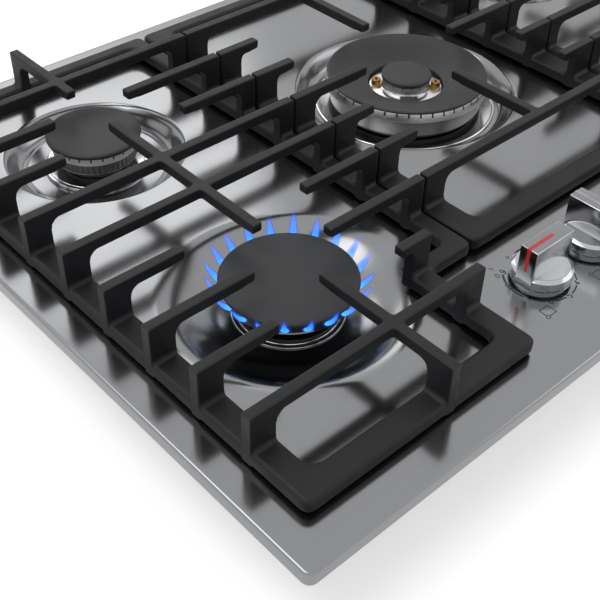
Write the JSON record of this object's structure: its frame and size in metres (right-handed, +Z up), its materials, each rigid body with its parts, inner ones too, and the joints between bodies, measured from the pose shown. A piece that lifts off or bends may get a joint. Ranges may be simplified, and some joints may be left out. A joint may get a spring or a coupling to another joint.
{
  "type": "gas cooktop",
  "caption": "Built-in gas cooktop with a pressed steel top, burners in round wells, lift-off cast pan supports and a front row of push-and-turn knobs.",
  "frame": {"origin": "middle of the footprint, at the underside of the burner box", "axes": "+X to the cook's right along the long side, +Y away from the cook, +Z up"},
  "size_m": [0.787, 0.54, 0.0948],
  "materials": {
    "brushed_steel": "fine brushed, near mirror",
    "cast_iron": "matt black enamelled casting",
    "cap_enamel": "matt black enamel",
    "burner_aluminium": "satin die casting",
    "tube_aluminium": "drawn",
    "knob_metal": "satin plated",
    "brass": "turned",
    "ceramic": "unglazed",
    "galvanised_steel": "galvanised sheet",
    "seal": "closed-cell foam",
    "generator_case": "moulded"
  },
  "bodies": {
    "cooktop": {"cooktop_plate": "brushed_steel", "edge_seal": "seal", "burner_box": "galvanised_steel", "left_bracket": "galvanised_steel", "right_bracket": "galvanised_steel", "gas_rail": "galvanised_steel", "gas_inlet": "brass", "spark_generator": "generator_case", "supply_tube_front_left": "tube_aluminium", "supply_tube_rear_left": "tube_aluminium", "supply_tube_centre": "tube_aluminium", "supply_tube_rear_right": "tube_aluminium", "supply_tube_front_right": "tube_aluminium", "burner_cup_front_left": "burner_aluminium", "burner_head_front_left": "burner_aluminium", "spark_pin_front_left": "ceramic", "burner_cup_rear_left": "burner_aluminium", "burner_head_rear_left": "burner_aluminium", "spark_pin_rear_left": "ceramic", "burner_cup_rear_right": "burner_aluminium", "burner_head_rear_right": "burner_aluminium", "spark_pin_rear_right": "ceramic", "burner_cup_front_right": "burner_aluminium", "burner_head_front_right": "burner_aluminium", "spark_pin_front_right": "ceramic", "burner_cup_centre": "burner_aluminium", "burner_head_centre": "burner_aluminium", "burner_head_inner": "burner_aluminium", "spark_pin_centre": "ceramic", "flame_sensor_centre": "brass", "valve_body_1": "tube_aluminium", "valve_body_2": "tube_aluminium", "valve_body_3": "tube_aluminium", "valve_body_4": "tube_aluminium", "valve_body_5": "tube_aluminium"},
    "pan_support_left": {"pan_support_left": "cast_iron"},
    "pan_support_centre": {"pan_support_centre": "cast_iron"},
    "pan_support_right": {"pan_support_right": "cast_iron"},
    "burner_cap_front_left": {"burner_cap_front_left": "cap_enamel"},
    "burner_cap_rear_left": {"burner_cap_rear_left": "cap_enamel"},
    "burner_cap_rear_right": {"burner_cap_rear_right": "cap_enamel"},
    "burner_cap_front_right": {"burner_cap_front_right": "cap_enamel"},
    "burner_cap_ring": {"burner_cap_ring": "cap_enamel"},
    "burner_cap_inner": {"burner_cap_inner": "cap_enamel"},
    "plug_1": {"valve_plug_1": "brass"},
    "knob_1": {"knob_1": "knob_metal", "valve_stem_1": "galvanised_steel"},
    "plug_2": {"valve_plug_2": "brass"},
    "knob_2": {"knob_2": "knob_metal", "valve_stem_2": "galvanised_steel"},
    "plug_3": {"valve_plug_3": "brass"},
    "knob_3": {"knob_3": "knob_metal", "valve_stem_3": "galvanised_steel"},
    "plug_4": {"valve_plug_4": "brass"},
    "knob_4": {"knob_4": "knob_metal", "valve_stem_4": "galvanised_steel"},
    "plug_5": {"valve_plug_5": "brass"},
    "knob_5": {"knob_5": "knob_metal", "valve_stem_5": "galvanised_steel"}
  },
  "joints": [
    {"name": "lift_pan_support_left", "type": "slide", "parent": "cooktop", "child": "pan_support_left", "axis": [0, 0, 1], "range_m": [0, 0.08]},
    {"name": "lift_pan_support_centre", "type": "slide", "parent": "cooktop", "child": "pan_support_centre", "axis": [0, 0, 1], "range_m": [0, 0.08]},
    {"name": "lift_pan_support_right", "type": "slide", "parent": "cooktop", "child": "pan_support_right", "axis": [0, 0, 1], "range_m": [0, 0.08]},
    {"name": "lift_burner_cap_front_left", "type": "slide", "parent": "cooktop", "child": "burner_cap_front_left", "axis": [0, 0, 1], "range_m": [0, 0.012]},
    {"name": "lift_burner_cap_rear_left", "type": "slide", "parent": "cooktop", "child": "burner_cap_rear_left", "axis": [0, 0, 1], "range_m": [0, 0.012]},
    {"name": "lift_burner_cap_rear_right", "type": "slide", "parent": "cooktop", "child": "burner_cap_rear_right", "axis": [0, 0, 1], "range_m": [0, 0.012]},
    {"name": "lift_burner_cap_front_right", "type": "slide", "parent": "cooktop", "child": "burner_cap_front_right", "axis": [0, 0, 1], "range_m": [0, 0.012]},
    {"name": "lift_burner_cap_ring", "type": "slide", "parent": "cooktop", "child": "burner_cap_ring", "axis": [0, 0, 1], "range_m": [0, 0.012]},
    {"name": "lift_burner_cap_inner", "type": "slide", "parent": "cooktop", "child": "burner_cap_inner", "axis": [0, 0, 1], "range_m": [0, 0.012]},
    {"name": "turn_knob_1", "type": "hinge", "parent": "cooktop", "child": "plug_1", "pos_m": [-0.114, -0.1987, 0.0545], "axis": [0, 0, 1], "range_deg": [-90, 234]},
    {"name": "press_knob_1", "type": "slide", "parent": "plug_1", "child": "knob_1", "axis": [0, 0, -1], "range_m": [0, 0.0025], "stiffness_N_per_m": 2000, "springref_m": -0.003},
    {"name": "turn_knob_2", "type": "hinge", "parent": "cooktop", "child": "plug_2", "pos_m": [-0.057, -0.1987, 0.0545], "axis": [0, 0, 1], "range_deg": [0, 324]},
    {"name": "press_knob_2", "type": "slide", "parent": "plug_2", "child": "knob_2", "axis": [0, 0, -1], "range_m": [0, 0.0025], "stiffness_N_per_m": 2000, "springref_m": -0.003},
    {"name": "turn_knob_3", "type": "hinge", "parent": "cooktop", "child": "plug_3", "pos_m": [0, -0.1987, 0.0545], "axis": [0, 0, 1], "range_deg": [0, 324]},
    {"name": "press_knob_3", "type": "slide", "parent": "plug_3", "child": "knob_3", "axis": [0, 0, -1], "range_m": [0, 0.0025], "stiffness_N_per_m": 2000, "springref_m": -0.003},
    {"name": "turn_knob_4", "type": "hinge", "parent": "cooktop", "child": "plug_4", "pos_m": [0.057, -0.1987, 0.0545], "axis": [0, 0, 1], "range_deg": [0, 324]},
    {"name": "press_knob_4", "type": "slide", "parent": "plug_4", "child": "knob_4", "axis": [0, 0, -1], "range_m": [0, 0.0025], "stiffness_N_per_m": 2000, "springref_m": -0.003},
    {"name": "turn_knob_5", "type": "hinge", "parent": "cooktop", "child": "plug_5", "pos_m": [0.114, -0.1987, 0.0545], "axis": [0, 0, 1], "range_deg": [0, 324]},
    {"name": "press_knob_5", "type": "slide", "parent": "plug_5", "child": "knob_5", "axis": [0, 0, -1], "range_m": [0, 0.0025], "stiffness_N_per_m": 2000, "springref_m": -0.003}
  ]
}
